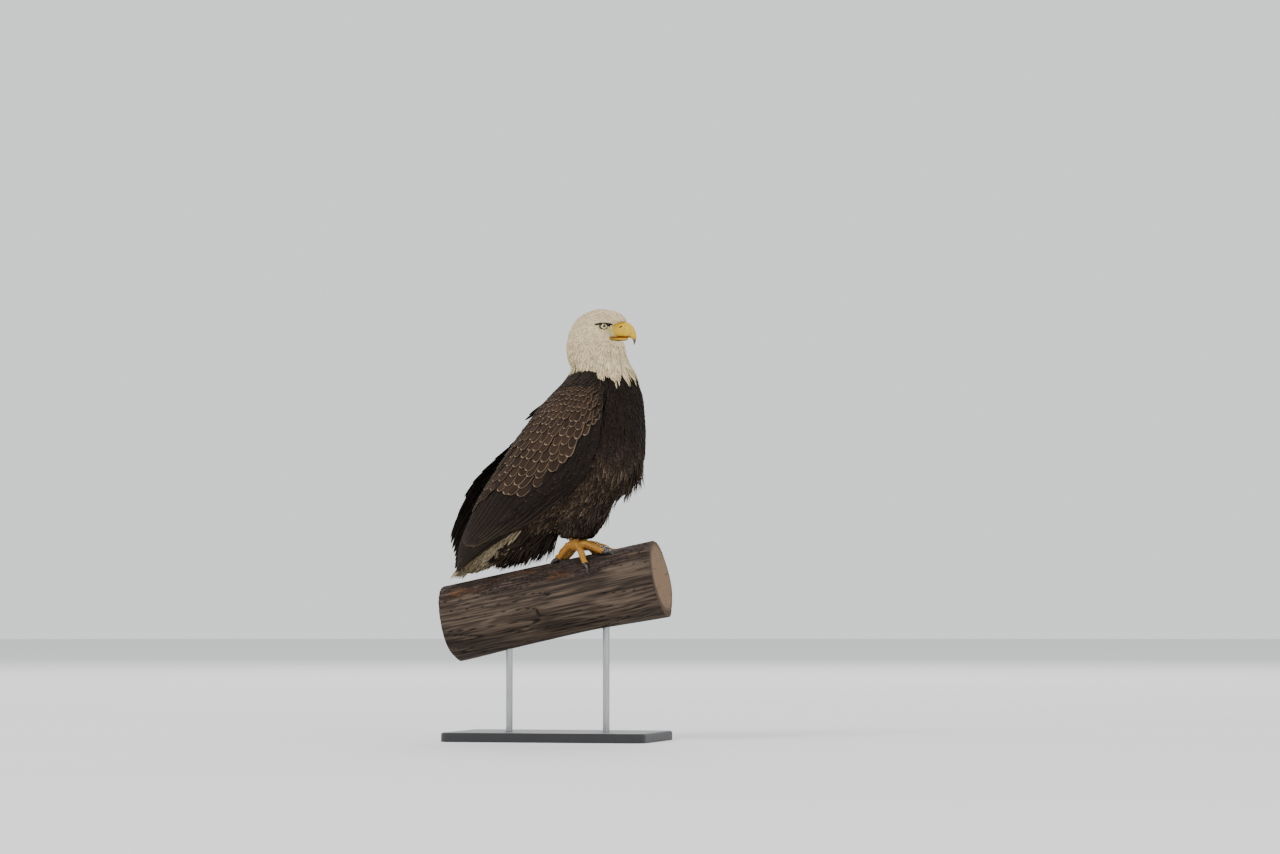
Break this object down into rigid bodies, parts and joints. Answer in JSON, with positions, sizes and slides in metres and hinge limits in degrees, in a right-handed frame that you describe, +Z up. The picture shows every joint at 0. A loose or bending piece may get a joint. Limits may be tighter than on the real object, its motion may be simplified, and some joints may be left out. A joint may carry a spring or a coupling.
{
  "type": "bald eagle model",
  "caption": "Still life-size bald eagle, wings folded, standing on a short cut length of log held by a plain stand with a flat base and rods.",
  "frame": {"origin": "centre of the bird's stance, on the underside of the stand's base", "axes": "+X the way the bird's body faces, +Y to its left, +Z up"},
  "size_m": [0.5584, 0.32, 1.032],
  "materials": {
    "feathers_brown": "matt dark brown feathers",
    "feathers_white": "matt white feathers of the head, neck and tail",
    "bill_yellow": "satin yellow horn",
    "eye_glass": "clear glass eye, pale iris, black pupil",
    "foot_skin": "scaly yellow skin",
    "claw_black": "smooth black horn",
    "log_wood": "weathered bare wood and bark",
    "stand_base_paint": "board painted satin black",
    "stand_rod_steel": "brushed steel"
  },
  "bodies": {
    "root": {"head": "feathers_white", "neck": "feathers_white", "trunk": "feathers_brown", "wing_right": "feathers_brown", "wing_left": "feathers_brown", "tail": "feathers_white", "tail_coverts": "feathers_white", "thigh_right": "feathers_brown", "thigh_left": "feathers_brown", "foot_right": "foot_skin", "foot_left": "foot_skin", "cere": "bill_yellow", "bill_upper": "bill_yellow", "bill_lower": "bill_yellow", "eye_right": "eye_glass", "eye_left": "eye_glass", "perch": "log_wood", "stand_base": "stand_base_paint", "stand_rod_front": "stand_rod_steel", "stand_rod_back": "stand_rod_steel", "claw_1_right": "claw_black", "claw_2_right": "claw_black", "claw_3_right": "claw_black", "claw_4_right": "claw_black", "claw_1_left": "claw_black", "claw_2_left": "claw_black", "claw_3_left": "claw_black", "claw_4_left": "claw_black"}
  },
  "joints": []
}
